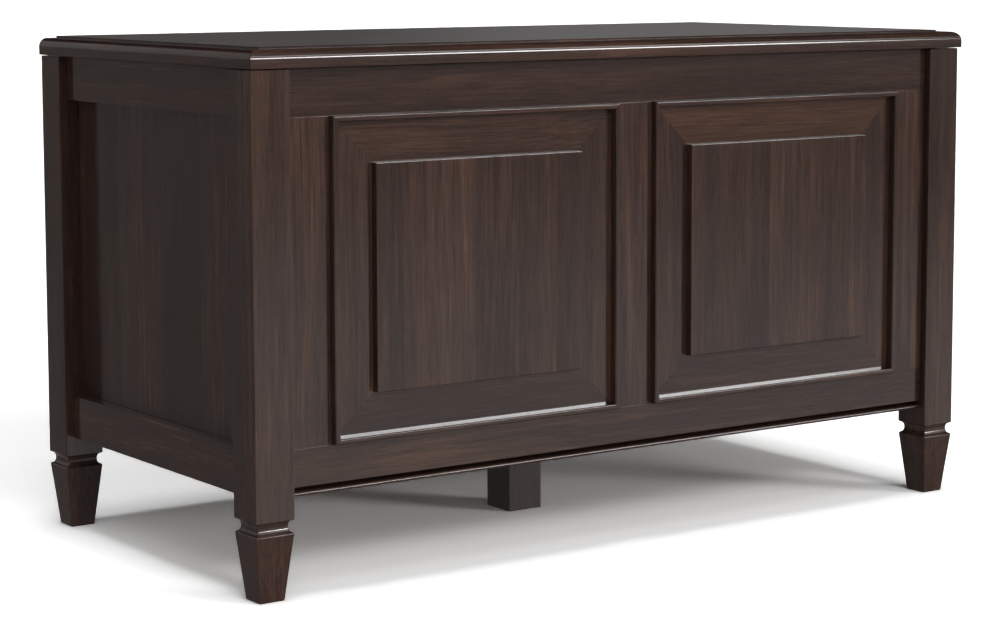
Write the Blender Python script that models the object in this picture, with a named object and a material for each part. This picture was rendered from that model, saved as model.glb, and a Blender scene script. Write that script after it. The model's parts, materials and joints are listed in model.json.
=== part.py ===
"""Lift-lid storage chest: four corner posts, framed front with two fielded panels, panelled sides and
back, a moulded lid on two butt hinges, and a folding stay that carries the lid on the right.

Metres, +Z up. The front faces -Y. The origin is on the floor under the middle of the whole chest.
Boards that meet keep GAP between them.
"""

import math

import bmesh
import bpy
from mathutils import Vector

# --- Driving dimensions ------------------------------------------------------------------------------
GAP = 0.0003
WIDTH = 1.016  # lid, left to right
LID_DEPTH = 0.502
HEIGHT = 0.584
BARREL_REACH = 0.007  # how far the hinge barrels stand behind the lid
FRONT = -(LID_DEPTH + BARREL_REACH) / 2  # front edge of the lid
BACK = FRONT + LID_DEPTH  # back edge of the lid and of the rear posts

LID_BOTTOM = 0.5622
LID_LEDGE_TOP = 0.5818  # top of the moulded edge, below the raised middle
LID_EDGE_WIDTH = 0.022
LID_ROUND = 0.010
LID_ARRIS = 0.0008

CASE_TOP = 0.5612
CASE_SIDE = WIDTH / 2 - 0.0025  # outer face of the posts
CASE_FRONT = FRONT + 0.004  # front face of the front posts
POST = 0.0476
POST_ARRIS = 0.0016
POST_INNER_X = CASE_SIDE - POST
POST_INNER_FRONT = CASE_FRONT + POST
POST_INNER_BACK = BACK - POST

POST_END = 0.0875  # underside of the square part of a post
FOOT_TOP = 0.0721
FOOT_TAPER = 0.0085  # inset of each face at the floor
COVE_DEPTH = 0.0053
COVE_LIP = 0.0018

RAIL_HEIGHT = 0.0505
TOP_RAIL_Z = CASE_TOP - RAIL_HEIGHT
BOTTOM_RAIL_Z = 0.1098
BOTTOM_RAIL_TOP = BOTTOM_RAIL_Z + RAIL_HEIGHT
RAIL_RECESS = 0.0095  # rails behind the post faces
TENON_LENGTH = 0.018
TENON_THICKNESS = 0.008
TENON_SHOULDER = 0.008

FRAME_Y = CASE_FRONT + RAIL_RECESS
FRAME_THICKNESS = 0.020
MULLION_HALF = 0.0257
STILE = 0.0510
BEAD_STRIP_TOP = 0.1193
BEAD_STRIP_BOTTOM = 0.1093
BEAD_RADIUS = 0.0024
QUIRK_DEPTH = 0.014
QUIRK_LIP = 0.006

BORDER_RECESS = 0.001  # panel border behind the frame face
BORDER_X = 0.0529  # width of the upright border boards
BORDER_Z = 0.0511
BACKING_THICKNESS = 0.006
BACKING_Y = FRAME_Y + FRAME_THICKNESS - 0.001 - BACKING_THICKNESS
FIELD_RISE = 0.009
FIELD_ARRIS = 0.0009
MOULDING_WIDTH = 0.006
MOULDING_RISE = 0.009
MOULDING_CORNER = 0.0014

SIDE_RAIL_THICKNESS = 0.024
SIDE_RAIL_OUTER = CASE_SIDE - RAIL_RECESS
SIDE_RAIL_INNER = SIDE_RAIL_OUTER - SIDE_RAIL_THICKNESS
PANEL_THICKNESS = 0.006
SIDE_PANEL_OUTER = CASE_SIDE - 0.0243
GROOVE = 0.006
BACK_RAIL_BACK = BACK - 0.001
BACK_RAIL_THICKNESS = 0.022
BACK_RAIL_FRONT = BACK_RAIL_BACK - BACK_RAIL_THICKNESS
BACK_PANEL_BACK = BACK_RAIL_BACK - 0.008

CLEAT = 0.020
CLEAT_Z = 0.115
FLOOR_THICKNESS = 0.009
CENTRE_LEG = 0.048
CASE_MIDDLE_Y = (FRONT + BACK) / 2

BATTEN_X = 0.30
BATTEN_WIDTH = 0.040
BATTEN_HEIGHT = 0.018
BATTEN_REACH = 0.190

HINGE_X = 0.33
LEAF_LENGTH = 0.065
LEAF_DEPTH = 0.0188
LEAF_THICKNESS = 0.002
LEAF_OFFSET = 0.0005  # leaf face from the plane through the hinge axis
KNUCKLES = 5
BARREL_RADIUS = 0.0032
BORE_RADIUS = 0.0017
PIN_RADIUS = 0.0014
AXIS_Y = BACK + BARREL_REACH - BARREL_RADIUS
AXIS_Z = (CASE_TOP + LID_BOTTOM) / 2
LEAF_END_Y = BACK - 0.0002

STAY_OPEN = math.radians(95)
STAY_X = SIDE_RAIL_INNER - GAP
STAY_PLATE = 0.002
STAY_ARM = 0.0025
STAY_PLAY = 0.0004
STAY_HALF_WIDTH = 0.006
STUD_RADIUS = 0.0025
HEAD_RADIUS = 0.0045
HEAD_HEIGHT = 0.0014
CASE_PIVOT = Vector((AXIS_Y - 0.0681, AXIS_Z - 0.0377))
LID_PIVOT = Vector((AXIS_Y - 0.160, AXIS_Z - 0.012))
ELBOW = LID_PIVOT + CASE_PIVOT - Vector((AXIS_Y, AXIS_Z))

MATERIALS = {}


# --- Helpers -----------------------------------------------------------------------------------------
def clear_scene():
    for obj in list(bpy.data.objects):
        bpy.data.objects.remove(obj, do_unlink=True)


def material(name, colour, roughness, metallic=0.0):
    made = bpy.data.materials.new(name)
    made.use_nodes = True
    shader = made.node_tree.nodes["Principled BSDF"]
    shader.inputs["Base Color"].default_value = (*colour, 1)
    shader.inputs["Roughness"].default_value = roughness
    shader.inputs["Metallic"].default_value = metallic
    MATERIALS[name] = made


def pivot(name, y, z):
    """An empty on an axis that runs along X."""
    empty = bpy.data.objects.new(name, None)
    bpy.context.collection.objects.link(empty)
    empty.location = (0, y, z)
    empty.empty_display_size = 0.03
    bpy.context.view_layer.update()
    return empty


def place(name, points, faces, finish, parent=None):
    """Makes an object from world points, with its origin in the middle of them."""
    low = Vector([min(p[i] for p in points) for i in range(3)])
    high = Vector([max(p[i] for p in points) for i in range(3)])
    middle = (low + high) / 2
    mesh = bpy.data.meshes.new(name)
    mesh.from_pydata([Vector(p) - middle for p in points], [], faces)
    shape = bmesh.new()
    shape.from_mesh(mesh)
    bmesh.ops.recalc_face_normals(shape, faces=shape.faces)
    shape.to_mesh(mesh)
    shape.free()
    obj = bpy.data.objects.new(name, mesh)
    obj.location = middle
    bpy.context.collection.objects.link(obj)
    if finish:
        mesh.materials.append(MATERIALS[finish])
    if parent:
        obj.parent = parent
        obj.matrix_parent_inverse = parent.matrix_world.inverted()
    return obj


def loft(rings):
    """Points and faces of a closed skin through rings that have the same number of points."""
    count = len(rings[0])
    points = [p for ring in rings for p in ring]
    faces = [list(range(count)), [len(points) - 1 - i for i in range(count)]]
    for r in range(len(rings) - 1):
        for i in range(count):
            j = (i + 1) % count
            faces.append([r * count + i, r * count + j, (r + 1) * count + j, (r + 1) * count + i])
    return points, faces


def box_shape(low, high):
    ring = [(low[0], low[1]), (high[0], low[1]), (high[0], high[1]), (low[0], high[1])]
    return loft([[(x, y, z) for x, y in ring] for z in (low[2], high[2])])


def prism_shape(outline, axis, start, end):
    """An outline pushed along an axis: (y, z) points along X, (x, z) along Y, (x, y) along Z."""
    return loft([[(*p[:axis], at, *p[axis:]) for p in outline] for at in (start, end)])


def turned_shape(profile, y, z, steps=20):
    """Circles about an axis along X, from (x, radius) pairs."""
    angles = [2 * math.pi * i / steps for i in range(steps)]
    return loft([[(x, y + r * math.cos(a), z + r * math.sin(a)) for a in angles] for x, r in profile])


def arc(centre, radius, start, end, steps):
    """Points in a plane from one angle to another, in degrees."""
    angles = [math.radians(start + (end - start) * i / steps) for i in range(steps + 1)]
    return [(centre[0] + radius * math.cos(a), centre[1] + radius * math.sin(a)) for a in angles]


def merged(shapes):
    """Points and faces of several separate shapes as one list."""
    points, faces = [], []
    for more_points, more_faces in shapes:
        first = len(points)
        points += more_points
        faces += [[first + i for i in face] for face in more_faces]
    return points, faces


def combine(obj, operation, shapes):
    """Joins shapes to an object or cuts them from it. Shapes in one call don't touch each other."""
    helper = place(f"{obj.name}_{operation.lower()}", *merged(shapes), None)
    helper.hide_render = True
    helper.display_type = "WIRE"
    change = obj.modifiers.new(operation.title(), "BOOLEAN")
    change.operation = operation
    change.solver = "EXACT"
    change.object = helper


def round_edges(obj, width, segments=2):
    bevel = obj.modifiers.new("Arris", "BEVEL")
    bevel.width = width
    bevel.segments = segments
    bevel.limit_method = "ANGLE"
    bevel.angle_limit = math.radians(50)


def grown(low, high, by=GAP):
    return box_shape([v - by for v in low], [v + by for v in high])


def mitred_bar(name, profile, start, end, inward, outward, mitres, finish, parent=None):
    """A bar along one side of a rectangle. profile holds (inward, outward) offsets from its outer edge;
    mitres gives how far each end is cut back for each metre inward, or None for a square end."""
    start, end, inward, outward = (Vector(v) for v in (start, end, inward, outward))
    along = (end - start).normalized()
    rings = []
    for corner, way, mitre in ((start, 1, mitres[0]), (end, -1, mitres[1])):
        slack = 0 if mitre is None else GAP / math.sqrt(2)
        rings.append(
            [
                corner + inward * u + outward * v + along * way * (slack + u * (mitre or 0))
                for u, v in profile
            ]
        )
    return place(name, *loft(rings), finish, parent)


# --- Corner posts ------------------------------------------------------------------------------------
def rounded_square(half, radius, steps=2):
    """Corner arcs of a square centred on the axis, going round once."""
    inner = half - radius
    points = []
    for quarter, (sx, sy) in enumerate(((1, 1), (-1, 1), (-1, -1), (1, -1))):
        points += arc((sx * inner, sy * inner), radius, 90 * quarter, 90 * quarter + 90, steps)
    return points


def post_profile():
    """(inset, height) pairs down the face of a post, through the cove, to the end of the foot."""
    cove_top, cove_end = POST_END - 0.0004, FOOT_TOP + 0.0020
    middle, half = (cove_top + cove_end) / 2, (cove_top - cove_end) / 2
    steps = 8
    cove = []
    for i in range(steps + 1):
        a = math.pi * i / steps
        cove.append((COVE_LIP + (COVE_DEPTH - COVE_LIP) * math.sin(a), middle + half * math.cos(a)))
    return [
        (0.0006, CASE_TOP),
        (0, CASE_TOP - 0.0006),
        (0, POST_END + 0.0007),
        (0.0007, POST_END),
        *cove,
        (0.0010, FOOT_TOP + 0.0014),
        (0.0005, FOOT_TOP + 0.0006),
        (0.0005, FOOT_TOP),
        (FOOT_TAPER - 0.0001, 0.0010),
        (FOOT_TAPER + 0.0009, 0),
    ]


def make_post(name, side, front):
    """One corner post and foot, mortised for its two pairs of rails and grooved for its panels."""
    x = side * (CASE_SIDE - POST / 2)
    y = CASE_FRONT + POST / 2 if front else BACK - POST / 2
    rings = []
    for inset, z in post_profile():
        square = rounded_square(POST / 2 - inset, POST_ARRIS)
        rings.append([(x + px, y + py, z) for px, py in square])
    post = place(name, *loft(rings), "dark_stained_wood")
    cuts = [grown(*tenon) for tenon in post_tenons(side, front)]
    cuts.append(grown(*side_panel_tongue(side, front)))
    if not front:
        cuts.append(grown(*back_panel_tongue(side)))
    combine(post, "DIFFERENCE", cuts)


def rail_heights(front):
    """(bottom, top) of the bottom and top rails."""
    bottom = BEAD_STRIP_TOP if front else BOTTOM_RAIL_Z
    return ((bottom, BOTTOM_RAIL_TOP), (TOP_RAIL_Z, CASE_TOP))


def cross_tenon(side, front, z):
    """Tenon of a front or back rail, as (low, high), from inside the rail to its end in the post."""
    middle = FRAME_Y + FRAME_THICKNESS / 2 if front else BACK_RAIL_FRONT + BACK_RAIL_THICKNESS / 2
    ends = sorted((side * (POST_INNER_X - 0.002), side * (POST_INNER_X + TENON_LENGTH)))
    low = (ends[0], middle - TENON_THICKNESS / 2, z[0] + TENON_SHOULDER)
    return low, (ends[1], middle + TENON_THICKNESS / 2, z[1] - TENON_SHOULDER)


def side_tenon(side, front, z):
    """Tenon of a side rail, as (low, high)."""
    middle = side * (SIDE_RAIL_OUTER - SIDE_RAIL_THICKNESS / 2)
    if front:
        ends = (POST_INNER_FRONT - TENON_LENGTH, POST_INNER_FRONT + 0.002)
    else:
        ends = (POST_INNER_BACK - 0.002, POST_INNER_BACK + TENON_LENGTH)
    low = (middle - TENON_THICKNESS / 2, ends[0], z[0] + TENON_SHOULDER)
    return low, (middle + TENON_THICKNESS / 2, ends[1], z[1] - TENON_SHOULDER)


def post_tenons(side, front):
    crossing = [cross_tenon(side, front, z) for z in rail_heights(front)]
    return crossing + [side_tenon(side, front, z) for z in rail_heights(False)]


def side_panel_tongue(side, front):
    """The edge of a side panel that a post's groove takes."""
    xs = sorted((side * SIDE_PANEL_OUTER, side * (SIDE_PANEL_OUTER - PANEL_THICKNESS)))
    if front:
        ys = (POST_INNER_FRONT - GROOVE, POST_INNER_FRONT + 0.002)
    else:
        ys = (POST_INNER_BACK - 0.002, POST_INNER_BACK + GROOVE)
    return (xs[0], ys[0], BOTTOM_RAIL_TOP - GROOVE), (xs[1], ys[1], TOP_RAIL_Z + GROOVE)


def back_panel_tongue(side):
    """The edge of the back panel that a rear post's groove takes."""
    xs = sorted((side * (POST_INNER_X - 0.002), side * (POST_INNER_X + GROOVE)))
    low = (xs[0], BACK_PANEL_BACK - PANEL_THICKNESS, BOTTOM_RAIL_TOP - GROOVE)
    return low, (xs[1], BACK_PANEL_BACK, TOP_RAIL_Z + GROOVE)


def make_posts():
    for side, hand in ((-1, "left"), (1, "right")):
        make_post(f"post_front_{hand}", side, True)
        make_post(f"post_rear_{hand}", side, False)


# --- Front frame -------------------------------------------------------------------------------------
def make_front_frame():
    back = FRAME_Y + FRAME_THICKNESS
    reach = POST_INNER_X - GAP
    for name, (z0, z1) in zip(("front_bottom_rail", "front_top_rail"), rail_heights(True)):
        shape = box_shape((-reach, FRAME_Y, z0), (reach, back, z1))
        rail = place(name, *shape, "dark_stained_wood")
        combine(rail, "UNION", [box_shape(*cross_tenon(side, True, (z0, z1))) for side in (-1, 1)])
    z0, z1 = BOTTOM_RAIL_TOP + GAP, TOP_RAIL_Z - GAP
    uprights = {
        "front_stile_left": (-reach, STILE - reach),
        "front_mullion": (-MULLION_HALF, MULLION_HALF),
        "front_stile_right": (reach - STILE, reach),
    }
    for name, (x0, x1) in uprights.items():
        place(name, *box_shape((x0, FRAME_Y, z0), (x1, back, z1)), "dark_stained_wood")
    make_bead_strip(reach, back)


def make_bead_strip(reach, back):
    """The strip under the bottom rail: a half-round bead below an undercut quirk."""
    centre = (FRAME_Y + BEAD_RADIUS, BEAD_STRIP_BOTTOM + BEAD_RADIUS)
    top = BEAD_STRIP_TOP - GAP
    outline = [(back, BEAD_STRIP_BOTTOM), (back, top), (FRAME_Y + QUIRK_LIP, top)]
    outline.append((FRAME_Y + QUIRK_DEPTH, centre[1] + BEAD_RADIUS))
    outline += arc(centre, BEAD_RADIUS, 90, 270, 8)
    place("front_bottom_bead", *prism_shape(outline, 0, -reach, reach), "dark_stained_wood")


# --- Front panels ------------------------------------------------------------------------------------
def panel_opening(side):
    """(low x, high x) of a panel opening between its mullion and its stile."""
    edges = (MULLION_HALF + GAP, POST_INNER_X - GAP - STILE - GAP)
    return sorted(side * edge for edge in edges)


def rectangle_sides(x0, x1, z0, z1):
    """(name, start, end, inward) for each side, seen from the front, as (x, z) pairs."""
    return (
        ("bottom", (x0, z0), (x1, z0), (0, 1)),
        ("right", (x1, z0), (x1, z1), (-1, 0)),
        ("top", (x1, z1), (x0, z1), (0, -1)),
        ("left", (x0, z1), (x0, z0), (1, 0)),
    )


def make_panel(hand, side):
    """A backing board, four mitred border boards, a raised field and four mitred bead mouldings."""
    x0, x1 = panel_opening(side)
    z0, z1 = BOTTOM_RAIL_TOP + GAP, TOP_RAIL_Z - GAP
    border_y = FRAME_Y + BORDER_RECESS
    depth = BACKING_Y - GAP - border_y
    backing = box_shape((x0, BACKING_Y, z0), (x1, BACKING_Y + BACKING_THICKNESS, z1))
    place(f"{hand}_panel_backing", *backing, "dark_stained_wood")
    for edge, start, end, inward in rectangle_sides(x0, x1, z0, z1):
        upright = edge in ("left", "right")
        width = BORDER_X if upright else BORDER_Z
        mitre = (BORDER_Z if upright else BORDER_X) / width
        place_bar(
            f"{hand}_panel_border_{edge}",
            [(0, 0), (width, 0), (width, -depth), (0, -depth)],
            start,
            end,
            inward,
            border_y,
            mitre,
        )
        place_bar(f"{hand}_panel_moulding_{edge}", moulding_profile(), start, end, inward, border_y, 1)
    field = box_shape(
        (x0 + BORDER_X + GAP, border_y - FIELD_RISE, z0 + BORDER_Z + GAP),
        (x1 - BORDER_X - GAP, BACKING_Y - GAP, z1 - BORDER_Z - GAP),
    )
    round_edges(place(f"{hand}_panel_field", *field, "dark_stained_wood"), FIELD_ARRIS)


def place_bar(name, profile, start, end, inward, y, mitre):
    """A mitred bar in the plane of the front, with its profile measured outwards from y."""
    ends = ((x, y, z) for x, z in (start, end))
    direction = (inward[0], 0, inward[1])
    mitred_bar(name, profile, *ends, direction, (0, -1, 0), (mitre, mitre), "dark_stained_wood")


def moulding_profile():
    """(inward, outward) outline of the bead moulding: a straight rib with a flat, round-cornered nose."""
    radius = MOULDING_CORNER
    height = BORDER_RECESS + MOULDING_RISE - radius
    outer = arc((radius, height), radius, 180, 90, 4)
    inner = arc((MOULDING_WIDTH - radius, height), radius, 90, 0, 4)
    return [(0, GAP), *outer, *inner, (MOULDING_WIDTH, GAP)]


# --- Sides and back ----------------------------------------------------------------------------------
def grooved_rail(outer, inner, groove_outer, groove_inner, z0, z1, groove_up):
    """Outline of a rail with a panel groove in its top or bottom edge, as (across, height)."""
    edge, far = (z1, z0) if groove_up else (z0, z1)
    floor = edge - (GROOVE + GAP) * (1 if groove_up else -1)
    step = GAP if outer > inner else -GAP
    return [
        (outer, far),
        (outer, edge),
        (groove_outer + step, edge),
        (groove_outer + step, floor),
        (groove_inner - step, floor),
        (groove_inner - step, edge),
        (inner, edge),
        (inner, far),
    ]


def make_side(hand, side):
    y0, y1 = POST_INNER_FRONT + GAP, POST_INNER_BACK - GAP
    outer, inner = side * SIDE_RAIL_OUTER, side * SIDE_RAIL_INNER
    groove = side * SIDE_PANEL_OUTER, side * (SIDE_PANEL_OUTER - PANEL_THICKNESS)
    for name, z, upward in zip(("bottom", "top"), rail_heights(False), (True, False)):
        outline = grooved_rail(outer, inner, *groove, *z, upward)
        rail = place(f"{hand}_side_{name}_rail", *prism_shape(outline, 1, y0, y1), "dark_stained_wood")
        combine(rail, "UNION", [box_shape(*side_tenon(side, front, z)) for front in (True, False)])
    low, high = side_panel_tongue(side, True)
    far = side_panel_tongue(side, False)[1]
    panel = box_shape(low, (high[0], far[1], high[2]))
    place(f"{hand}_side_panel", *panel, "dark_stained_wood")


def make_back():
    reach = POST_INNER_X - GAP
    groove = BACK_PANEL_BACK, BACK_PANEL_BACK - PANEL_THICKNESS
    for name, z, upward in zip(("bottom", "top"), rail_heights(False), (True, False)):
        outline = grooved_rail(BACK_RAIL_BACK, BACK_RAIL_FRONT, *groove, *z, upward)
        rail = place(f"back_{name}_rail", *prism_shape(outline, 0, -reach, reach), "dark_stained_wood")
        combine(rail, "UNION", [box_shape(*cross_tenon(side, False, z)) for side in (-1, 1)])
        if name == "top":
            combine(rail, "DIFFERENCE", [leaf_pocket(x, -1) for x in (-HINGE_X, HINGE_X)])
    low = back_panel_tongue(-1)[0]
    high = back_panel_tongue(1)[1]
    place("back_panel", *box_shape(low, high), "dark_stained_wood")


# --- Bottom ------------------------------------------------------------------------------------------
def make_bottom():
    front, back = FRAME_Y + FRAME_THICKNESS + GAP, BACK_RAIL_FRONT - GAP
    top = CLEAT_Z + CLEAT
    reach = POST_INNER_X - GAP
    for name, y0, y1 in (("front", front, front + CLEAT), ("rear", back - CLEAT, back)):
        shape = box_shape((-reach, y0, CLEAT_Z), (reach, y1, top))
        place(f"bottom_cleat_{name}", *shape, "plain_wood")
    half = CENTRE_LEG / 2
    y0, y1 = front + CLEAT + GAP, back - CLEAT - GAP
    place("centre_bearer", *box_shape((-half, y0, CLEAT_Z), (half, y1, top)), "plain_wood")
    leg = box_shape(
        (-half, CASE_MIDDLE_Y - half, 0), (half, CASE_MIDDLE_Y + half, CLEAT_Z - GAP)
    )
    round_edges(place("centre_leg", *leg, "dark_stained_wood"), 0.001)
    make_bottom_panel(front, back, top + GAP)


def make_bottom_panel(front, back, z):
    """A board notched round the four posts."""
    wide, narrow = SIDE_RAIL_INNER - 2 * GAP, POST_INNER_X - GAP
    notch_front, notch_back = POST_INNER_FRONT + GAP, POST_INNER_BACK - GAP
    right = [(narrow, front), (narrow, notch_front), (wide, notch_front)]
    right += [(wide, notch_back), (narrow, notch_back), (narrow, back)]
    outline = right + [(-x, y) for x, y in reversed(right)]
    place("bottom_panel", *prism_shape(outline, 2, z, z + FLOOR_THICKNESS), "plain_wood")


# --- Lid ---------------------------------------------------------------------------------------------
def make_lid(axis):
    """A raised middle board with a rounded moulding mitred round its front and sides, on two battens."""
    half, edge = WIDTH / 2, LID_EDGE_WIDTH
    inner = half - edge - GAP
    board = box_shape((-inner, FRONT + edge + GAP, LID_BOTTOM), (inner, BACK, HEIGHT))
    lid = place("lid_panel", *board, "dark_stained_wood", axis)
    round_edges(lid, LID_ARRIS, 1)
    combine(lid, "DIFFERENCE", [leaf_pocket(x, 1) for x in (-HINGE_X, HINGE_X)])
    profile = [(0, 0), (edge, 0), (edge, LID_LEDGE_TOP - LID_BOTTOM)]
    profile += arc((LID_ROUND, LID_LEDGE_TOP - LID_BOTTOM - LID_ROUND), LID_ROUND, 90, 180, 8)
    corners = [(x, y, LID_BOTTOM) for x, y in ((-half, BACK), (-half, FRONT), (half, FRONT), (half, BACK))]
    bars = (
        ("left", (1, 0, 0), (None, 1)),
        ("front", (0, 1, 0), (1, 1)),
        ("right", (-1, 0, 0), (1, None)),
    )
    for i, (name, inward, mitres) in enumerate(bars):
        ends = corners[i], corners[i + 1]
        mitred_bar(
            f"lid_moulding_{name}", profile, *ends, inward, (0, 0, 1), mitres, "dark_stained_wood", axis
        )
    for hand, side in (("left", -1), ("right", 1)):
        make_batten(f"lid_batten_{hand}", side * BATTEN_X, axis)


def make_batten(name, x, axis):
    """A batten across the lid, its lower corners cut back at both ends."""
    top = LID_BOTTOM - GAP
    bottom = top - BATTEN_HEIGHT
    y0, y1 = CASE_MIDDLE_Y - BATTEN_REACH, CASE_MIDDLE_Y + BATTEN_REACH
    slope = BATTEN_HEIGHT - 0.006
    outline = [(y0, top), (y0, bottom + slope), (y0 + slope, bottom)]
    outline += [(y1 - slope, bottom), (y1, bottom + slope), (y1, top)]
    half = BATTEN_WIDTH / 2
    place(name, *prism_shape(outline, 0, x - half, x + half), "plain_wood", axis)


# --- Hinges ------------------------------------------------------------------------------------------
def leaf_heights(way):
    """(low, high) of a leaf: way is -1 for the case leaf and 1 for the lid leaf."""
    return sorted(AXIS_Z + way * (LEAF_OFFSET + t) for t in (0, LEAF_THICKNESS))


def leaf_pocket(x, way):
    """The recess for a leaf, open at the back edge and on the face that the leaf is flush with."""
    low, high = leaf_heights(way)
    low, high = (low - GAP, high + 0.002) if way < 0 else (low - 0.002, high + GAP)
    half = LEAF_LENGTH / 2 + GAP
    y0 = LEAF_END_Y - LEAF_DEPTH - GAP
    return box_shape((x - half, y0, low), (x + half, BACK + 0.002, high))


def knuckle_outline(way):
    """(y, z) outline of a knuckle and the neck that joins it to its leaf."""
    near, far = LEAF_OFFSET, LEAF_OFFSET + LEAF_THICKNESS
    start = math.degrees(math.asin(far / BARREL_RADIUS))
    end = 360 + math.degrees(math.asin(near / BARREL_RADIUS))
    root = LEAF_END_Y - 0.001
    circle = arc((0, 0), BARREL_RADIUS, start, end, 18)
    outline = [(root, AXIS_Z + way * far)]
    outline += [(AXIS_Y - c, AXIS_Z + way * s) for c, s in circle]
    return outline + [(root, AXIS_Z + way * near)]


def screw_hole(x, y, way):
    """A countersunk hole through a leaf, wide on the side that faces the other leaf."""
    face = AXIS_Z + way * LEAF_OFFSET
    depths = ((-0.0005, 0.0036), (0, 0.0033), (0.0014, 0.0019), (LEAF_THICKNESS + 0.0005, 0.0019))
    steps = [2 * math.pi * i / 16 for i in range(16)]
    rings = []
    for depth, radius in depths:
        z = face + way * depth
        rings.append([(x + radius * math.cos(a), y + radius * math.sin(a), z) for a in steps])
    return loft(rings)


def make_leaf(name, x, way, parent=None):
    half = LEAF_LENGTH / 2
    low, high = leaf_heights(way)
    plate = box_shape((x - half, LEAF_END_Y - LEAF_DEPTH, low), (x + half, LEAF_END_Y, high))
    leaf = place(name, *plate, "hinge_steel", parent)
    width = LEAF_LENGTH / KNUCKLES
    own = range(0 if way < 0 else 1, KNUCKLES, 2)
    knuckles = []
    for i in own:
        x0 = x - half + i * width
        start, end = max(x0 + GAP / 2, x - half), min(x0 + width - GAP / 2, x + half)
        knuckles.append(prism_shape(knuckle_outline(way), 0, start, end))
    combine(leaf, "UNION", knuckles)
    bore = turned_shape([(x - half - 0.001, BORE_RADIUS), (x + half + 0.001, BORE_RADIUS)], AXIS_Y, AXIS_Z)
    row = LEAF_END_Y - LEAF_DEPTH / 2
    holes = [screw_hole(x + step, row + shift, way) for step, shift in leaf_screws()]
    combine(leaf, "DIFFERENCE", [bore, *holes])


def leaf_screws():
    """(x, y) offsets of the three screws, the middle one set towards the barrel."""
    return ((-0.024, -0.003), (0, 0.003), (0.024, -0.003))


def make_pin(name, x):
    half = LEAF_LENGTH / 2
    head = 0.0026
    profile = []
    for way in (-1, 1):
        end = [(half + 0.0016, head * 0.7), (half + 0.0012, head), (half + GAP, head)]
        end = [(x + way * at, r) for at, r in end] + [(x + way * (half + GAP), PIN_RADIUS)]
        profile += end if way < 0 else list(reversed(end))
    place(name, *turned_shape(profile, AXIS_Y, AXIS_Z, 16), "hinge_steel")


def make_hinges(axis):
    for hand, side in (("left", -1), ("right", 1)):
        make_leaf(f"hinge_case_leaf_{hand}", side * HINGE_X, -1)
        make_leaf(f"hinge_lid_leaf_{hand}", side * HINGE_X, 1, axis)
        make_pin(f"hinge_pin_{hand}", side * HINGE_X)


# --- Lid stay ----------------------------------------------------------------------------------------
def turned_by(angle, vector):
    """A (y, z) vector turned as the lid opens, which takes -Y towards +Z."""
    c, s = math.cos(angle), math.sin(angle)
    return Vector((vector.x * c + vector.y * s, -vector.x * s + vector.y * c))


def stud_shape(at, root, shoulder, head=True):
    """A pivot stud from inside its own plate to the far side of the arm it carries."""
    way = 1 if shoulder > root else -1
    profile = [(root, STUD_RADIUS), (shoulder, STUD_RADIUS)]
    if head:
        profile += [(shoulder, HEAD_RADIUS), (shoulder + way * HEAD_HEIGHT * 0.6, HEAD_RADIUS)]
        profile += [(shoulder + way * HEAD_HEIGHT, HEAD_RADIUS * 0.75)]
    return turned_shape(profile, at.x, at.y)


def hole_shape(at, x0, x1, radius):
    return turned_shape([(x0 - 0.001, radius), (x1 + 0.001, radius)], at.x, at.y)


def arm_outline(start, end):
    """A flat bar with round ends, as (y, z)."""
    angle = math.degrees(math.atan2(*(end - start).yx))
    near = arc(start, STAY_HALF_WIDTH, angle + 90, angle + 270, 10)
    return near + arc(end, STAY_HALF_WIDTH, angle - 90, angle + 90, 10)


def make_stay(lid_axis):
    """Two parallel arms: the lower one turns with the lid, and the upper one keeps its direction."""
    plate = STAY_X - STAY_PLATE
    lower = plate - STAY_PLAY, plate - STAY_PLAY - STAY_ARM
    upper = lower[1] - STAY_PLAY, lower[1] - STAY_PLAY - STAY_ARM
    ear = upper[1] - STAY_PLAY, upper[1] - STAY_PLAY - STAY_PLATE
    lower_axis = pivot("stay_lower_axis", *CASE_PIVOT)
    elbow_axis = pivot("stay_elbow_axis", *ELBOW)
    make_stay_case_bracket(plate, lower)
    arm = prism_shape(arm_outline(CASE_PIVOT, ELBOW), 0, lower[1], lower[0])
    low = place("stay_lower_arm", *arm, "stay_steel", lower_axis)
    combine(low, "UNION", [stud_shape(ELBOW, lower[1] + 0.001, upper[1] - STAY_PLAY)])
    combine(low, "DIFFERENCE", [hole_shape(CASE_PIVOT, lower[1], lower[0], STUD_RADIUS + GAP)])
    arm = prism_shape(arm_outline(ELBOW, LID_PIVOT), 0, upper[1], upper[0])
    up = place("stay_upper_arm", *arm, "stay_steel", elbow_axis)
    holes = [(ELBOW, STUD_RADIUS + GAP), (LID_PIVOT, STUD_RADIUS + 0.0005)]
    combine(up, "DIFFERENCE", [hole_shape(at, upper[1], upper[0], radius) for at, radius in holes])
    make_stay_lid_bracket(ear, upper[0] + STAY_PLAY, lid_axis)


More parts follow.
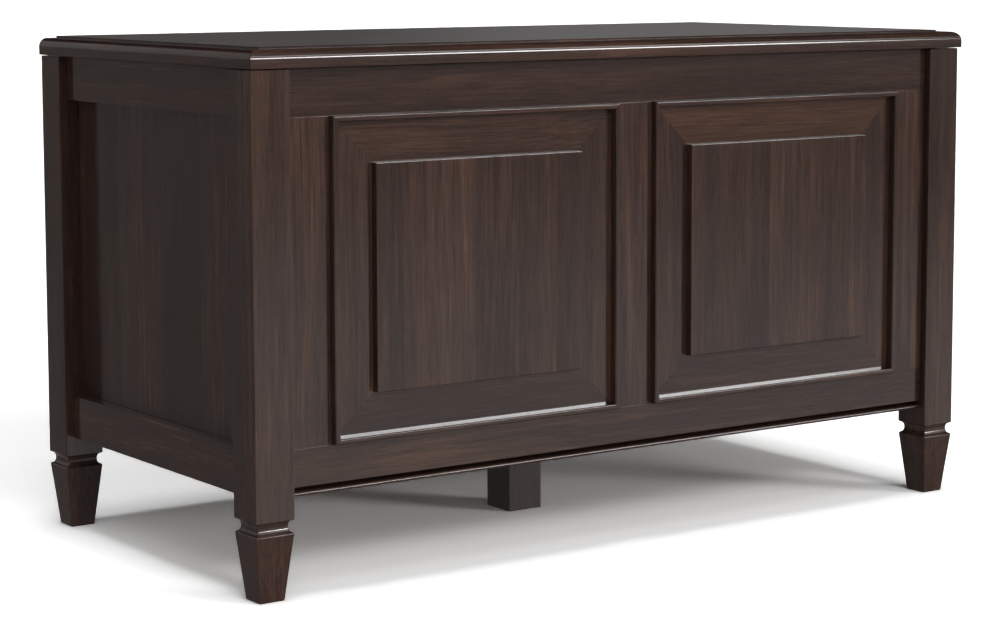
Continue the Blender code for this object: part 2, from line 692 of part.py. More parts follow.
def make_stay_case_bracket(plate, lower):
    """The plate on the side rail, with its pivot stud and the stud that stops the arm at STAY_OPEN."""
    y0, y1 = CASE_PIVOT.x - 0.015, POST_INNER_BACK - 0.0008
    z0, z1 = CASE_PIVOT.y - 0.0115, CASE_PIVOT.y + 0.025
    bracket = place("stay_case_bracket", *box_shape((plate, y0, z0), (STAY_X, y1, z1)), "stay_steel")
    along = turned_by(STAY_OPEN, ELBOW - CASE_PIVOT).normalized()
    across = Vector((along.y, -along.x))
    reach = STAY_HALF_WIDTH + STUD_RADIUS + GAP
    stop = CASE_PIVOT + along * 0.013 + across * reach
    studs = [
        stud_shape(CASE_PIVOT, plate + 0.001, lower[1] - STAY_PLAY),
        stud_shape(stop, plate + 0.001, lower[1], head=False),
    ]
    combine(bracket, "UNION", studs)
    screws = [CASE_PIVOT + Vector((-0.009, 0.0185)), CASE_PIVOT + Vector((0.0105, -0.0065))]
    combine(bracket, "DIFFERENCE", [hole_shape(at, plate, STAY_X, 0.0019) for at in screws])


def make_stay_lid_bracket(ear, shoulder, lid_axis):
    """An angle: a plate under the lid and an ear that holds the end of the upper arm."""
    top = LID_BOTTOM - GAP
    half = 0.020
    plate = box_shape((ear[1] - 0.014, LID_PIVOT.x - half, top - STAY_PLATE), (ear[0], LID_PIVOT.x + half, top))
    bracket = place("stay_lid_bracket", *plate, "stay_steel", lid_axis)
    root = top - STAY_PLATE / 2
    outline = [(LID_PIVOT.x + 0.011, root), (LID_PIVOT.x - 0.011, root)]
    outline += arc(LID_PIVOT, 0.007, 180, 360, 10)
    combine(bracket, "UNION", [prism_shape(outline, 0, ear[1], ear[0])])
    combine(bracket, "UNION", [stud_shape(LID_PIVOT, ear[0] - 0.001, shoulder)])
    x = ear[1] - 0.007
    steps = [2 * math.pi * i / 16 for i in range(16)]
    holes = []
    for y in (LID_PIVOT.x - 0.014, LID_PIVOT.x + 0.014):
        ring = [(x + 0.0019 * math.cos(a), y + 0.0019 * math.sin(a)) for a in steps]
        holes.append(prism_shape(ring, 2, top - STAY_PLATE - 0.001, top + 0.001))
    combine(bracket, "DIFFERENCE", holes)


def main():
    clear_scene()
    material("dark_stained_wood", (0.030, 0.017, 0.012), 0.38)
    material("plain_wood", (0.110, 0.065, 0.040), 0.60)
    material("hinge_steel", (0.16, 0.13, 0.10), 0.35, 1.0)
    material("stay_steel", (0.42, 0.41, 0.39), 0.32, 1.0)
    lid_axis = pivot("lid_axis", AXIS_Y, AXIS_Z)
    make_posts()
    make_front_frame()
    for hand, side in (("left", -1), ("right", 1)):
        make_panel(hand, side)
        make_side(hand, side)
    make_back()
    make_bottom()
    make_lid(lid_axis)
    make_hinges(lid_axis)
    make_stay(lid_axis)


main()
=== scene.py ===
"""Looks of the lift-lid chest: boards with eased edges and stained wood, steel hinges and stay, fasteners,
pads, a pale studio floor, soft lights and the camera. Metres, +Z up, the front faces -Y."""

import json
import math
import random

import bmesh
import bpy
from mathutils import Matrix, Vector


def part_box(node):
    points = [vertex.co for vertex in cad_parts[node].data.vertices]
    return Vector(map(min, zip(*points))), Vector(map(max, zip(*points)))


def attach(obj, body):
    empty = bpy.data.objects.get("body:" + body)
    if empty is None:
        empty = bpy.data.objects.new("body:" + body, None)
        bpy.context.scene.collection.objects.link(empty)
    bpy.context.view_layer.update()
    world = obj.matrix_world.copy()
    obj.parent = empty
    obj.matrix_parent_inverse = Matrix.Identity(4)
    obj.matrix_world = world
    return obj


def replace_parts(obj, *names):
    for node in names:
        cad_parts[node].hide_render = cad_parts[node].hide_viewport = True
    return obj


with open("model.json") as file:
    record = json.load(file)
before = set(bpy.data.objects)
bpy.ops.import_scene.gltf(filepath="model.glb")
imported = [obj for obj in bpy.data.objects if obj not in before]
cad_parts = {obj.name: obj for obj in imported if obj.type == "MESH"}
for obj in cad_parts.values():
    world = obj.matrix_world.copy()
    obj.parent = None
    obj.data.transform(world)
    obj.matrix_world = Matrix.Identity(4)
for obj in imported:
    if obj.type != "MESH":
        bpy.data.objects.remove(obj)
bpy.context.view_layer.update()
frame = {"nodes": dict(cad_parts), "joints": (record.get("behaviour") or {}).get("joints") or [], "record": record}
RANDOM = random.Random(11)

# --- Dimensions --------------------------------------------------------------------------------------
EDGE = 0.0007  # eased edge of rails, lid moulding and inner boards
FINE_EDGE = 0.00035  # eased edge where boards meet flush
METAL_EDGE = 0.00015  # eased edge of plated steel
CLOSE_UP = 0.00011  # how far flush boards swell into the gap between them
STAVE = 0.062  # usual width of the staves that a wide panel is glued up from

LEAF_DEPTH = 0.0188
LEAF_FACE = 0.0005  # from the hinge axis plane to the face of a leaf
LEAF_SCREWS = ((-0.024, -0.003), (0, 0.003), (0.024, -0.003))
STAY_PLATE = 0.002
STAY_CASE_SCREWS = ((-0.009, 0.0185), (0.0105, -0.0065))  # from the pivot, towards +Y and +Z
STAY_LID_SCREWS = (-0.014, 0.014)
STAY_LID_INSET = 0.007  # from the lid plate's left edge to its screws
SUNK = 0.0001  # how far a flush screw head sits below its plate
PROUD = 0.0002  # how far a pan head's rim stands off its board
LEAF_SCREW = (0.0032, 0.0016, 0)  # radius, depth and crown of a head
BATTEN_SCREW = (0.0042, 0.003, 0.0012)
STAY_SCREW = (0.0018, 0.0016, 0)
BATTEN_SCREW_STEPS = (-0.150, 0, 0.150)
CROWN_STEPS = 6
RIM = 0.0002  # upright rim of a head
PAD_RADIUS = 0.006
PAD_HEIGHT = 0.0008
PAD_GAP = 0.00005

JOIN = 0.00001  # points of a part that are nearer than this are one
WELD = 0.000002  # the same in a carved screw
FLAT = math.radians(0.8)  # faces that meet at less than this are joined up
SHARP = math.radians(50)  # outward edges over this are eased

WARM_BOARDS = {"right_panel_border_top": 0.7}  # boards from a redder plank

UPRIGHT_GRAIN = ("_field", "_side_panel", "_backing", "back_panel")
GLUED_UP = UPRIGHT_GRAIN + ("lid_panel", "bottom_panel")
ROUNDED = ("post_", "lid_panel", "_field", "centre_leg", "_panel_moulding")


# --- Shader helpers ----------------------------------------------------------------------------------
def new_material(name):
    made = bpy.data.materials.new(name)
    made.use_nodes = True
    made.node_tree.nodes.clear()
    return made, made.node_tree


def add_node(tree, kind, inputs=None, **settings):
    """A node with its settings and inputs; an input is a plain value or another node's output."""
    made = tree.nodes.new("ShaderNode" + kind)
    for key, value in settings.items():
        setattr(made, key, value)
    for key, value in (inputs or {}).items():
        socket = made.inputs[key]
        if isinstance(value, bpy.types.NodeSocket):
            tree.links.new(value, socket)
        else:
            socket.default_value = value
    return made


def maths(tree, operation, *values, clamp=False):
    return add_node(tree, "Math", dict(enumerate(values)), operation=operation, use_clamp=clamp).outputs[0]


def weighted_sum(tree, values, weights):
    """The values multiplied by their weights and added up."""
    total = maths(tree, "MULTIPLY", values[0], weights[0])
    for value, weight in zip(values[1:], weights[1:]):
        total = maths(tree, "ADD", total, maths(tree, "MULTIPLY", value, weight))
    return total


def scaled(tree, vector, factors):
    return add_node(tree, "VectorMath", {0: vector, 1: factors}, operation="MULTIPLY").outputs[0]


def added(tree, first, second):
    return add_node(tree, "VectorMath", {0: first, 1: second}, operation="ADD").outputs[0]


def attribute(tree, name, output="Fac"):
    return add_node(tree, "Attribute", attribute_name=name).outputs[output]


def noise(tree, vector, scale=1.0, detail=2.0, roughness=0.5):
    inputs = {"Vector": vector, "Scale": scale, "Detail": detail, "Roughness": roughness}
    return add_node(tree, "TexNoise", inputs).outputs[0]


def spread(tree, value, low, high, to_low=0.0, to_high=1.0):
    """Maps low..high onto to_low..to_high with soft ends."""
    inputs = {0: value, 1: low, 2: high, 3: to_low, 4: to_high}
    return add_node(tree, "MapRange", inputs, interpolation_type="SMOOTHSTEP").outputs[0]


def mix_colour(tree, factor, first, second, blend="MIX"):
    made = add_node(tree, "Mix", data_type="RGBA", blend_type=blend)
    for index, value in ((0, factor), (6, first), (7, second)):
        if isinstance(value, bpy.types.NodeSocket):
            tree.links.new(value, made.inputs[index])
        else:
            made.inputs[index].default_value = value
    return made.outputs[2]


def finish_shader(tree, colour, roughness, normal, **constants):
    """The Principled shader, with its constants set on its own sockets."""
    shader = add_node(tree, "BsdfPrincipled", {"Base Color": colour, "Roughness": roughness})
    for key, value in constants.items():
        shader.inputs[key.replace("_", " ")].default_value = value
    if normal:
        tree.links.new(normal, shader.inputs["Normal"])
    output = add_node(tree, "OutputMaterial")
    tree.links.new(shader.outputs[0], output.inputs[0])


def bump(tree, height, distance, strength=1.0):
    inputs = {"Height": height, "Distance": distance, "Strength": strength}
    return add_node(tree, "Bump", inputs).outputs[0]


# --- Wood --------------------------------------------------------------------------------------------
FIBRE_SWAY = 0.018  # metres from side to side
STAVE_SHIFT = (7.3, 2.9, 1.7)  # most metres that a stave's grain is moved along, across and through
# How far eased edges go towards a lighter tone: partly rubbed wear, partly a painted highlight along the arrises.
EDGE_WEAR_AND_HIGHLIGHT = 0.15
LACQUER = {"Coat_Weight": 1.0, "Coat_Roughness": 0.12, "Coat_IOR": 1.5, "Specular_IOR_Level": 0.0}
OPEN_GRAIN = {"Specular_IOR_Level": 0.35}


def stave_values(tree):
    """Two random tones for each stave, and the shift of its grain."""
    stave = attribute(tree, "stave")
    inputs = {"W": stave, "Scale": 1.0, "Randomness": 0.55}
    cell = add_node(tree, "TexVoronoi", inputs, voronoi_dimensions="1D").outputs["Color"]
    tones = add_node(tree, "SeparateXYZ", {0: cell}).outputs
    return tones[0], tones[1], scaled(tree, cell, STAVE_SHIFT)


def bent_fibres(tree, own):
    """The board's space with its fibres wandering a little to each side."""
    sway = noise(tree, scaled(tree, own, (2.2, 9, 9)), detail=2)
    sway = maths(tree, "MULTIPLY", maths(tree, "SUBTRACT", sway, 0.5), FIBRE_SWAY)
    return added(tree, own, add_node(tree, "CombineXYZ", {1: sway, 2: sway}).outputs[0])


def wood_layers(tree, own):
    """Layers of noise along the fibres, from broad bands to pores, and a cloud across them."""
    fibre = bent_fibres(tree, own)
    return {
        "broad": noise(tree, scaled(tree, fibre, (1.6, 26, 26)), detail=2),
        "streaks": noise(tree, scaled(tree, fibre, (5.0, 150, 150)), detail=3, roughness=0.6),
        "fine": noise(tree, scaled(tree, fibre, (16, 620, 620)), detail=2, roughness=0.65),
        "pores": noise(tree, scaled(tree, fibre, (95, 2300, 2300)), detail=1),
        "cloud": noise(tree, scaled(tree, own, (9, 13, 13)), detail=3),
    }


def wood_warmth(tree, layers, tone):
    """How red the wood is, from 0 to 1."""
    warm = weighted_sum(tree, (layers["streaks"], layers["broad"]), (0.62, 0.38))
    own_tone = maths(tree, "MULTIPLY", maths(tree, "SUBTRACT", tone, 0.5), 0.10)
    warm = spread(tree, maths(tree, "ADD", warm, own_tone), 0.44, 0.72)
    presence = spread(tree, layers["cloud"], 0.36, 0.62, 0.25, 1.0)
    warm = maths(tree, "MULTIPLY", warm, presence)
    return maths(tree, "ADD", warm, attribute(tree, "plank"), clamp=True)


def wood_colour(tree, palette, own, layers, tones):
    """The stain: a dark body, redder streaks, finer shading, and arrises made lighter, partly as rubbed wear and
    partly as a painted highlight.
    """
    body = mix_colour(tree, spread(tree, layers["broad"], 0.35, 0.65), palette["dark"], palette["middle"])
    colour = mix_colour(tree, wood_warmth(tree, layers, tones[0]), body, palette["warm"])

    shade = spread(tree, layers["fine"], 0.25, 0.75, 0.73, 1.30)
    shade = maths(tree, "MULTIPLY", shade, spread(tree, layers["pores"], 0.30, 0.46, 0.68, 1.0))
    shade = maths(tree, "MULTIPLY", shade, spread(tree, tones[1], 0.0, 1.0, 0.86, 1.14))
    colour = add_node(tree, "VectorMath", {0: colour, "Scale": shade}, operation="SCALE").outputs[0]

    # Eased edges mixed towards a lighter tone in patches: partly rubbed wear, partly a painted highlight.
    patch = spread(tree, noise(tree, scaled(tree, own, (38, 60, 60)), detail=3), 0.42, 0.70)
    wear_and_highlight = maths(tree, "MULTIPLY", maths(tree, "MULTIPLY", attribute(tree, "arris"), patch), EDGE_WEAR_AND_HIGHLIGHT)
    return mix_colour(tree, wear_and_highlight, colour, palette["rubbed_and_highlit"])


def wood_material(name, palette, roughness, bump_depth, shader_constants):
    """Stained wood. The grain attribute holds (along, across, through) in metres for each board, stave
    counts the staves across it, plank makes a board redder, and arris marks the faces of eased edges."""
    made, tree = new_material(name)
    *tones, jump = stave_values(tree)
    own = added(tree, attribute(tree, "grain", "Vector"), jump)
    layers = wood_layers(tree, own)
    colour = wood_colour(tree, palette, own, layers, tones)
    smudge = noise(tree, scaled(tree, own, (14, 22, 22)), detail=4)
    rough = maths(tree, "ADD", roughness - 0.09, weighted_sum(tree, (smudge, layers["fine"]), (0.12, 0.06)))
    height = weighted_sum(tree, (layers["fine"], layers["pores"], layers["streaks"]), (0.5, 0.5, 0.8))
    finish_shader(tree, colour, rough, bump(tree, height, bump_depth), **shader_constants)
    return made


DARK_PALETTE = {
    "dark": (0.0335, 0.0189, 0.0153, 1),
    "middle": (0.0448, 0.0242, 0.0185, 1),
    "warm": (0.0800, 0.0400, 0.0255, 1),
    # lighter arris tone: rubbed wear and painted highlight
    "rubbed_and_highlit": (0.0806, 0.0403, 0.0248, 1),
}
PLAIN_PALETTE = {
    "dark": (0.085, 0.050, 0.031, 1),
    "middle": (0.120, 0.072, 0.045, 1),
    "warm": (0.205, 0.118, 0.065, 1),
    # lighter arris tone: rubbed wear and painted highlight
    "rubbed_and_highlit": (0.240, 0.150, 0.090, 1),
}


# --- Metal and rubber --------------------------------------------------------------------------------
def steel_material(name, light, dark, roughness):
    """Plated sheet steel: cloudy plating, fine rolling lines and a few scuffs."""
    made, tree = new_material(name)
    place = add_node(tree, "TexCoord").outputs["Object"]
    cloud = noise(tree, scaled(tree, place, (160, 160, 160)), detail=4)
    lines = noise(tree, scaled(tree, place, (90, 2600, 2600)), detail=2)
    scuff = spread(tree, noise(tree, scaled(tree, place, (420, 900, 900)), detail=3), 0.60, 0.72)
    colour = mix_colour(tree, spread(tree, cloud, 0.35, 0.65), dark, light)
    colour = mix_colour(tree, maths(tree, "MULTIPLY", scuff, 0.35), colour, (0.62, 0.60, 0.56, 1))
    rough = maths(tree, "ADD", roughness - 0.06, maths(tree, "MULTIPLY", cloud, 0.16))
    rough = maths(tree, "ADD", rough, maths(tree, "MULTIPLY", lines, 0.06))
    finish_shader(tree, colour, rough, bump(tree, lines, 0.00002), Metallic=1.0)
    return made


def rubber_material(name):
    made, tree = new_material(name)
    place = add_node(tree, "TexCoord").outputs["Object"]
    speck = noise(tree, scaled(tree, place, (900, 900, 900)), detail=3)
    black, grey = (0.020, 0.018, 0.017, 1), (0.034, 0.031, 0.029, 1)
    colour = mix_colour(tree, spread(tree, speck, 0.3, 0.7), black, grey)
    rough = maths(tree, "ADD", 0.50, maths(tree, "MULTIPLY", speck, 0.20))
    finish_shader(tree, colour, rough, bump(tree, speck, 0.00003))
    return made


# --- Boards ------------------------------------------------------------------------------------------
def part_of(name, words):
    return any(word in name for word in words)


def grain_axes(node):
    """Axis numbers along the grain, across the face and through the thickness of a board."""
    low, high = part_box(node)
    order = sorted(range(3), key=lambda i: low[i] - high[i])
    along = 2 if part_of(node, UPRIGHT_GRAIN) else order[0]
    return [along] + [i for i in order if i != along]


def clean_shape(node):
    """The node's mesh as a bmesh, with its flat faces joined up again."""
    source = frame["nodes"][node].data
    shape = bmesh.new()
    points = [shape.verts.new(v.co) for v in source.vertices]
    for polygon in source.polygons:
        shape.faces.new([points[i] for i in polygon.vertices])
    bmesh.ops.remove_doubles(shape, verts=shape.verts, dist=JOIN)
    bmesh.ops.dissolve_limit(
        shape,
        angle_limit=FLAT,
        use_dissolve_boundaries=False,
        verts=shape.verts,
        edges=shape.edges,
    )
    bmesh.ops.recalc_face_normals(shape, faces=shape.faces)
    return shape


def ease_edges(shape, width, segments=2):
    """Rounds the outward edges and returns the new faces."""
    sharp = []
    for edge in shape.edges:
        if len(edge.link_faces) == 2 and edge.calc_face_angle_signed(0) > SHARP:
            sharp.append(edge)
    made = bmesh.ops.bevel(
        shape,
        geom=sharp,
        offset=width,
        offset_type="OFFSET",
        segments=segments,
        profile=0.5,
        affect="EDGES",
        clamp_overlap=True,
    )
    return made["faces"]


def swell(shape, axes, by):
    """Moves the outermost points a little further out along each axis."""
    for axis in axes:
        values = [v.co[axis] for v in shape.verts]
        middle = (min(values) + max(values)) / 2
        for v in shape.verts:
            v.co[axis] += math.copysign(by, v.co[axis] - middle)


def to_piece(shape, name, body, material, smooth_angle=35):
    """Ends a bmesh as a piece with smooth faces and sharp creases, riding on a body."""
    for face in shape.faces:
        face.smooth = True
    for edge in shape.edges:
        folded = len(edge.link_faces) == 2 and edge.calc_face_angle(0) > math.radians(smooth_angle)
        edge.smooth = not folded
    mesh = bpy.data.meshes.new(name)
    shape.to_mesh(mesh)
    shape.free()
    mesh.materials.append(material)
    piece = bpy.data.objects.new(name, mesh)
    bpy.context.scene.collection.objects.link(piece)
    even = piece.modifiers.new("Even shading", "WEIGHTED_NORMAL")
    even.keep_sharp = True
    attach(piece, body)
    return piece


def write_grain(mesh, axes, glued_up, warmth):
    """Stores each point's place in the board, its place across the staves, and the plank's redness."""
    shift = Vector([RANDOM.uniform(-4, 4) for _ in range(3)])
    first = RANDOM.uniform(0, 50)
    places = [Vector([v.co[axis] for axis in axes]) for v in mesh.vertices]
    grain = [value for place in places for value in place + shift]
    staves = [first + (place.y / STAVE if glued_up else 0) for place in places]
    mesh.attributes.new("grain", "FLOAT_VECTOR", "POINT").data.foreach_set("vector", grain)
    mesh.attributes.new("stave", "FLOAT", "POINT").data.foreach_set("value", staves)
    mesh.attributes.new("plank", "FLOAT", "POINT").data.foreach_set("value", [warmth] * len(places))


def is_flush(node):
    """Whether a board meets its neighbours flush, in the frame and borders of the front."""
    return node.startswith("front_") or part_of(node, ("_border_", "_backing"))


def keep_inside(shape, node, margin):
    """Keeps every point within the node's own box and a margin."""
    low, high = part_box(node)
    for v in shape.verts:
        for i in range(3):
            v.co[i] = min(max(v.co[i], low[i] - margin), high[i] + margin)


def is_arris(face, node, eased):
    """Whether a face belongs to an eased edge."""
    if node.startswith("post_"):
        return abs(face.normal.x) > 0.2 and abs(face.normal.y) > 0.2
    slanting = max(map(abs, face.normal)) < 0.98
    return face in eased or (slanting and part_of(node, ("lid_panel", "_field", "centre_leg")))


def dress_board(node, body, material, slot):
    shape = clean_shape(node)
    flush = is_flush(node)
    axes = grain_axes(node)
    if flush:
        swell(shape, (0, 2), CLOSE_UP)
    eased = set()
    if not part_of(node, ROUNDED + ("_border_",)):
        eased = set(ease_edges(shape, FINE_EDGE if flush else EDGE))
    keep_inside(shape, node, CLOSE_UP if flush else 0)
    layer = shape.faces.layers.float.new("arris")
    for face in shape.faces:
        face[layer] = 1.0 if is_arris(face, node, eased) else 0.0
    piece = to_piece(shape, node + "_board", body, material)
    write_grain(piece.data, axes, part_of(node, GLUED_UP), WARM_BOARDS.get(node, 0.0))
    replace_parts(piece, node)


def dress_metal(node, body, material, slot):
    shape = clean_shape(node)
    ease_edges(shape, METAL_EDGE, 1)
    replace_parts(to_piece(shape, node + "_plated", body, material, 40), node)


# --- Fasteners and pads ------------------------------------------------------------------------------
def turned(profile, steps=32):
    """A closed turned shape about +Z from (radius, height) pairs that start and end on the axis."""
    shape = bmesh.new()
    rings = []
    for radius, z in profile:
        if radius == 0:
            rings.append([shape.verts.new((0, 0, z))])
            continue
        angles = [2 * math.pi * i / steps for i in range(steps)]
        rings.append([shape.verts.new((radius * math.cos(a), radius * math.sin(a), z)) for a in angles])
    for lower, upper in zip(rings, rings[1:]):
        for i in range(steps):
            j = (i + 1) % steps
            if len(lower) == 1:
                shape.faces.new([lower[0], upper[j], upper[i]])
            elif len(upper) == 1:
                shape.faces.new([lower[i], lower[j], upper[0]])
            else:
                shape.faces.new([lower[i], lower[j], upper[j], upper[i]])
    bmesh.ops.recalc_face_normals(shape, faces=shape.faces)
    return shape


def screw_mesh(radius, depth, crown):
    """A countersunk or pan screw head with a cross recess, its face at z = 0 and its shank below."""
    profile = [(0, -depth), (radius * 0.45, -depth), (radius * 0.5, -depth * 0.9)]
    profile.append((radius * 0.97, -crown * 0.2 - RIM))
    angles = [math.pi / 2 * i / CROWN_STEPS for i in range(CROWN_STEPS if crown else 1)]
    profile += [(radius * math.cos(a), crown * math.sin(a)) for a in angles]
    profile.append((0, crown))
    shape = turned(profile)
    mesh = bpy.data.meshes.new("screw")
    shape.to_mesh(mesh)
    shape.free()
    return carved(mesh, cross_mesh(radius, crown))


def cross_mesh(radius, crown):
    """A cross-shaped plug that narrows downwards, for the recess of a screw head."""
    a, w = radius * 0.575, radius * 0.12
    outline = [(a, w), (w, w), (w, a), (-w, a), (-w, w), (-a, w)]
    outline += [(-x, -y) for x, y in outline]
    shape = bmesh.new()
    rings = []
    for scale, z in ((0.55, crown - 0.55 * radius), (1, crown + 0.35 * radius)):
        rings.append([shape.verts.new((x * scale, y * scale, z)) for x, y in outline])
    lower, upper = rings
    for i in range(len(outline)):
        j = (i + 1) % len(outline)
        shape.faces.new([lower[i], lower[j], upper[j], upper[i]])
    shape.faces.new(lower[::-1])
    shape.faces.new(upper)
    bmesh.ops.triangulate(shape, faces=shape.faces)
    bmesh.ops.recalc_face_normals(shape, faces=shape.faces)
    cross = bpy.data.meshes.new("cross")
    shape.to_mesh(cross)
    shape.free()
    return cross


def carved(mesh, cutter):
    """The mesh with the cutter taken away, as a plain mesh."""
    body = bpy.data.objects.new("carved", mesh)
    tool = bpy.data.objects.new("tool", cutter)
    for obj in (body, tool):
        bpy.context.scene.collection.objects.link(obj)
    cut = body.modifiers.new("Recess", "BOOLEAN")
    cut.operation = "DIFFERENCE"
    cut.solver = "EXACT"
    cut.object = tool
    graph = bpy.context.evaluated_depsgraph_get()
    made = bpy.data.meshes.new_from_object(body.evaluated_get(graph))
    for obj in (body, tool):
        bpy.data.objects.remove(obj)
    shape = bmesh.new()
    shape.from_mesh(made)
    bmesh.ops.remove_doubles(shape, verts=shape.verts, dist=WELD)
    bmesh.ops.dissolve_degenerate(shape, edges=shape.edges, dist=WELD)
    shape.to_mesh(made)
    shape.free()
    return made


def add_screws(name, mesh, places, body, material):
    """One piece that holds a copy of the screw at each (point, outward direction)."""
    shape = bmesh.new()
    for point, outward in places:
        turn = Vector(outward).to_track_quat("Z", "Y").to_matrix().to_4x4()
        spin = Matrix.Rotation(RANDOM.uniform(0, math.pi / 2), 4, "Z")
        first = len(shape.verts)
        shape.from_mesh(mesh)
        shape.verts.ensure_lookup_table()
        bmesh.ops.transform(shape, matrix=Matrix.Translation(point) @ turn @ spin, verts=shape.verts[first:])
    to_piece(shape, name, body, material, 30)


def add_hinge_screws(mesh, axis, material):
    for way, kind, body in ((-1, "case", "case"), (1, "lid", "lid")):
        for hand in ("left", "right"):
            low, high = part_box(f"hinge_{kind}_leaf_{hand}")
            middle = (low.x + high.x) / 2
            row = low.y + LEAF_DEPTH / 2
            z = axis.z + way * (LEAF_FACE + SUNK)
            places = [((middle + dx, row + dy, z), (0, 0, -way)) for dx, dy in LEAF_SCREWS]
            add_screws(f"hinge_{kind}_screws_{hand}", mesh, places, body, material)


def add_batten_screws(mesh, material):
    for hand in ("left", "right"):
        low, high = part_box(f"lid_batten_{hand}")
        x, y = (low.x + high.x) / 2, (low.y + high.y) / 2
        places = [((x, y + step, low.z - PROUD), (0, 0, -1)) for step in BATTEN_SCREW_STEPS]
        add_screws(f"lid_batten_screws_{hand}", mesh, places, "lid", material)


def add_stay_screws(mesh, pivot, material):
    """Flush screws in the two plates of the stay."""
    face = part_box("stay_case_bracket")[1].x - STAY_PLATE + SUNK
    places = [((face, pivot.y + dy, pivot.z + dz), (-1, 0, 0)) for dy, dz in STAY_CASE_SCREWS]
    add_screws("stay_case_screws", mesh, places, "case", material)
    low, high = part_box("stay_lid_bracket")
    x, y, z = low.x + STAY_LID_INSET, (low.y + high.y) / 2, high.z - STAY_PLATE + SUNK
    places = [((x, y + step, z), (0, 0, -1)) for step in STAY_LID_SCREWS]
    add_screws("stay_lid_screws", mesh, places, "lid", material)


def add_pads(material):
    """A soft disc on top of each post, which the lid closes on."""
    for name in ("front_left", "front_right", "rear_left", "rear_right"):
        low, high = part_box("post_" + name)
        edge = PAD_HEIGHT * 0.4
        profile = [(0, 0), (PAD_RADIUS, 0), (PAD_RADIUS, PAD_HEIGHT - edge)]
        profile.append((PAD_RADIUS - edge * 0.4, PAD_HEIGHT - edge * 0.3))
        profile += [(PAD_RADIUS - edge, PAD_HEIGHT), (0, PAD_HEIGHT)]
        shape = turned(profile)
        centre = Vector(((low.x + high.x) / 2, (low.y + high.y) / 2, high.z + PAD_GAP))
        bmesh.ops.transform(shape, matrix=Matrix.Translation(centre), verts=shape.verts)
        to_piece(shape, f"bumper_pad_{name}", "case", material)


# --- Studio ------------------------------------------------------------------------------------------
FLOOR_RADIUS = 80
FLOOR_ALBEDO = 0.85
FLOOR_SEEN = 1.70  # as the camera sees it, so that the open floor comes out white
# Soft panels round the chest: azimuth from the front towards the right, half width, lowest and highest
# elevation, soft edge (all in degrees), and strength. Those below the horizon show only in the lacquer.
SKY_PANELS = (
    # The key, in front to the right, and what stands above and below it
    (36, 8, 7, 13, 1.5, 40.0),
    (42, 10, 24, 34, 3, 5.0),
    (35, 35, -3, 3, 2, 0.36),
    (35, 40, -17, -6, 3, 0.72),
    (35, 40, -26, -18, 2, 0.15),
    # Fill in front
    (-25, 12, 14, 45, 4, 2.6),
    (-3, 12, 14, 45, 4, 1.7),
    # Overhead
    (0, 60, 52, 63, 4, 1.36),
    (0, 180, 81, 95, 4, 14.6),
    # Left
    (-60, 20, 5, 40, 6, 0.42),
    (-95, 15, 5, 45, 6, 0.18),
    (-78, 14, -16, -2, 3, 1.6),
    # Behind to the left
    (-145, 35, -60, -2, 3, 0.15),
    (-145, 30, 0, 30, 5, 0.40),
    # Behind to the right, seen in the lid
    (145, 35, 0, 12, 3, 0.095),
    (125, 21, 0, 12, 3, 0.085),
    # Right, behind and underneath
    (95, 40, -26, -4, 4, 0.45),
    (170, 24, -26, -4, 4, 0.45),
    (0, 180, -60, -30, 4, 0.10),
)
LAMP = (0, 31, 10, 0.35)  # azimuth, elevation and spread in degrees, and strength


def add_floor():
    made, tree = new_material("studio_floor")
    seen = add_node(tree, "LightPath").outputs["Is Camera Ray"]
    pale, white = [(value, value, value, 1) for value in (FLOOR_ALBEDO, FLOOR_SEEN)]
    diffuse = add_node(tree, "BsdfDiffuse", {"Color": mix_colour(tree, seen, pale, white)})
    output = add_node(tree, "OutputMaterial")
    tree.links.new(diffuse.outputs[0], output.inputs[0])
    mesh = bpy.data.meshes.new("studio_floor")
    shape = bmesh.new()
    bmesh.ops.create_circle(shape, cap_ends=True, radius=FLOOR_RADIUS, segments=96)
    shape.to_mesh(mesh)
    shape.free()
    mesh.materials.append(made)
    floor = bpy.data.objects.new("studio_floor", mesh)
    bpy.context.scene.collection.objects.link(floor)
    floor.visible_glossy = False


def step_at(tree, angle, degrees, edge, before, after):
    """Goes from one value to the other as an angle in radians passes so many degrees."""
    return spread(tree, angle, math.radians(degrees - edge), math.radians(degrees + edge), before, after)


def panel_glow(tree, way, elevation, azimuth, half, low, high, edge, strength):
    """The strength of one soft panel in the direction way."""
    glow = step_at(tree, elevation, low, edge, 0, strength)
    glow = maths(tree, "MULTIPLY", glow, step_at(tree, elevation, high, edge, 1, 0))
    if half >= 180:
        return glow
    sine, cosine = math.sin(math.radians(azimuth)), math.cos(math.radians(azimuth))
    ahead = weighted_sum(tree, (way[0], way[1]), (sine, -cosine))
    beside = weighted_sum(tree, (way[0], way[1]), (cosine, sine))
    off = maths(tree, "ABSOLUTE", maths(tree, "ARCTAN2", beside, ahead))
    return maths(tree, "MULTIPLY", glow, step_at(tree, off, half, edge, 1, 0))


def add_sky():
    """A dark room with large soft panels round it. The camera sees it as plain white."""
    world = bpy.data.worlds.new("studio")
    bpy.context.scene.world = world
    world.use_nodes = True
    tree = world.node_tree
    tree.nodes.clear()
    way = add_node(tree, "SeparateXYZ", {0: add_node(tree, "TexCoord").outputs["Generated"]}).outputs
    elevation = maths(tree, "ARCSINE", way[2])
    total = 0.0
    for panel in SKY_PANELS:
        total = maths(tree, "ADD", total, panel_glow(tree, way, elevation, *panel))
    seen = add_node(tree, "LightPath").outputs["Is Camera Ray"]
    total = maths(tree, "MAXIMUM", total, seen)
    background = add_node(tree, "Background", {"Color": (1, 1, 1, 1), "Strength": total})
    output = add_node(tree, "OutputWorld")
    tree.links.new(background.outputs[0], output.inputs[0])


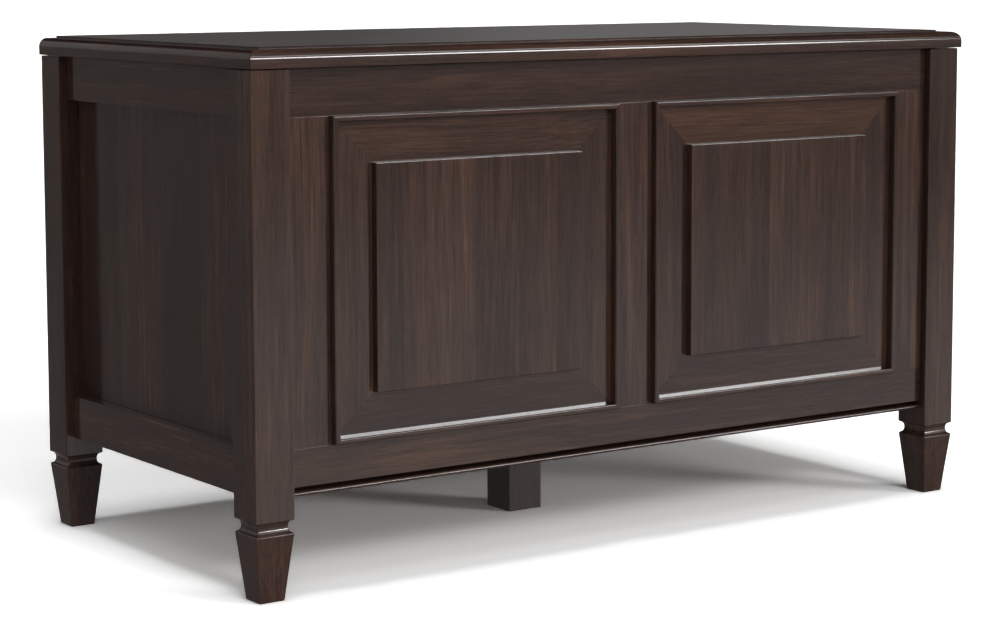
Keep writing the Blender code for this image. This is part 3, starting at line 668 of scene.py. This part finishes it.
def add_sun(azimuth, elevation, spread_angle, strength):
    """A distant lamp, to crisp the edge of the shadow."""
    light = bpy.data.lights.new("high_lamp", "SUN")
    light.angle = math.radians(spread_angle)
    light.energy = strength
    a, e = math.radians(azimuth), math.radians(elevation)
    way = Vector((math.sin(a) * math.cos(e), -math.cos(a) * math.cos(e), math.sin(e)))
    lamp = bpy.data.objects.new("high_lamp", light)
    bpy.context.scene.collection.objects.link(lamp)
    lamp.rotation_mode = "QUATERNION"
    lamp.rotation_quaternion = way.to_track_quat("Z", "Y")


CAMERA_PLACE = Vector((-1.7957, -2.5287, 0.6774))
CAMERA_YAW = 0.6128  # from +Y towards +X
CAMERA_PITCH = 0.1085  # downwards
CAMERA_ROLL = -0.0022
CAMERA_LENS = 91.76
CAMERA_SENSOR = 36
CAMERA_SHIFT = -0.08


def add_camera():
    data = bpy.data.cameras.new("camera")
    data.sensor_width = CAMERA_SENSOR
    data.lens = CAMERA_LENS
    data.shift_y = CAMERA_SHIFT
    camera = bpy.data.objects.new("camera", data)
    bpy.context.scene.collection.objects.link(camera)
    level = math.cos(CAMERA_PITCH)
    ahead = Vector((math.sin(CAMERA_YAW) * level, math.cos(CAMERA_YAW) * level, -math.sin(CAMERA_PITCH)))
    right = Vector((math.cos(CAMERA_YAW), -math.sin(CAMERA_YAW), 0))
    above = right.cross(ahead)
    c, s = math.cos(CAMERA_ROLL), math.sin(CAMERA_ROLL)
    turned_right, turned_up = right * c + above * s, above * c - right * s
    turn = Matrix((turned_right, turned_up, -ahead)).transposed()
    camera.matrix_world = Matrix.Translation(CAMERA_PLACE) @ turn.to_4x4()
    bpy.context.scene.camera = camera


def set_view():
    bpy.context.scene.view_settings.view_transform = "Standard"


# --- Everything --------------------------------------------------------------------------------------
def dress_chest():
    materials = {
        "dark_stained_wood": wood_material("lacquered_wood", DARK_PALETTE, 0.42, 0.00012, LACQUER),
        "plain_wood": wood_material("bare_wood", PLAIN_PALETTE, 0.62, 0.00025, OPEN_GRAIN),
        "hinge_steel": steel_material("bronzed_steel", (0.24, 0.19, 0.14, 1), (0.13, 0.10, 0.075, 1), 0.34),
        "stay_steel": steel_material("zinc_steel", (0.56, 0.55, 0.52, 1), (0.40, 0.39, 0.37, 1), 0.30),
    }
    rubber = rubber_material("soft_rubber")
    slots = {part["node"]: part["material_slot"] for part in frame["record"]["subparts"]}
    for body, nodes in sorted(frame["record"]["behaviour"]["bodies"].items()):
        for node in sorted(nodes):
            slot = slots[node]
            dress = dress_board if slot.endswith("wood") else dress_metal
            dress(node, body, materials[slot], slot)
    joints = {joint["name"]: Vector(joint["pos_m"]) for joint in frame["joints"]}
    add_hinge_screws(screw_mesh(*LEAF_SCREW), joints["lid_hinge"], materials["hinge_steel"])
    add_batten_screws(screw_mesh(*BATTEN_SCREW), materials["hinge_steel"])
    add_stay_screws(screw_mesh(*STAY_SCREW), joints["stay_lower_hinge"], materials["stay_steel"])
    add_pads(rubber)


dress_chest()
add_floor()
add_sky()
add_sun(*LAMP)
add_camera()
set_view()
